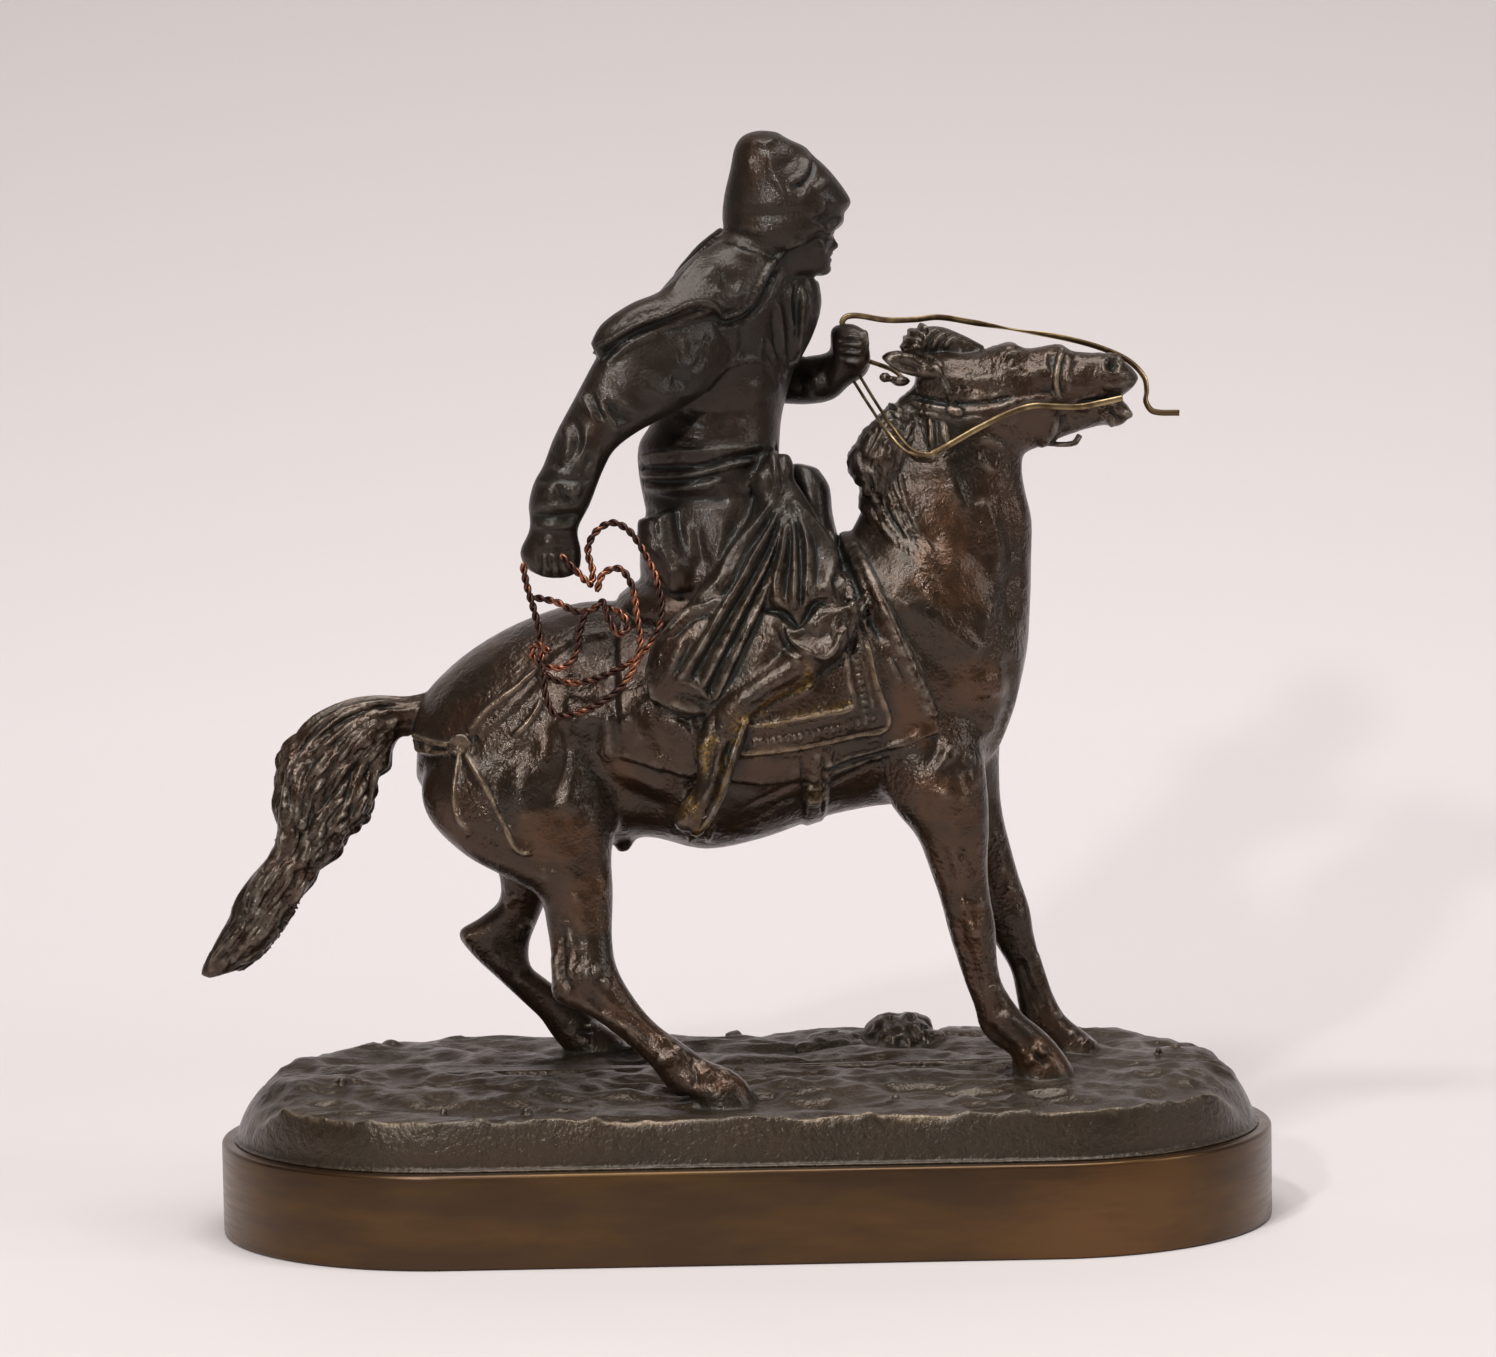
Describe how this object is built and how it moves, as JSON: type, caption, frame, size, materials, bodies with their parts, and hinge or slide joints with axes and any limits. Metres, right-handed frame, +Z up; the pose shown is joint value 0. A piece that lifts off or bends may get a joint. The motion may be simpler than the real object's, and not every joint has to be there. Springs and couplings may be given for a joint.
{
  "type": "equestrian statuette",
  "caption": "Patinated bronze statuette of a rider in cap and hood checking a pony, with metal reins and a twisted copper lasso, on an oval-ended plinth.",
  "frame": {"origin": "middle of the plinth's underside", "axes": "+X along the plinth towards the pony's head, -Y towards the pony's right side, +Z up"},
  "size_m": [0.223, 0.098, 0.2277],
  "materials": {
    "plinth": "smooth bronze with a red-brown patina, rubbed golden in places",
    "casting": "cast and chased bronze with a dark brown patina, waxed, rubbed on the high places",
    "rein": "bent brass strip, half tarnished to dark brown",
    "lasso": "twisted copper wire, tarnished"
  },
  "bodies": {
    "root": {"plinth": "plinth", "horse_and_rider": "casting", "near_rein": "rein", "far_rein": "rein", "short_rein": "rein", "lasso": "lasso"}
  },
  "joints": []
}
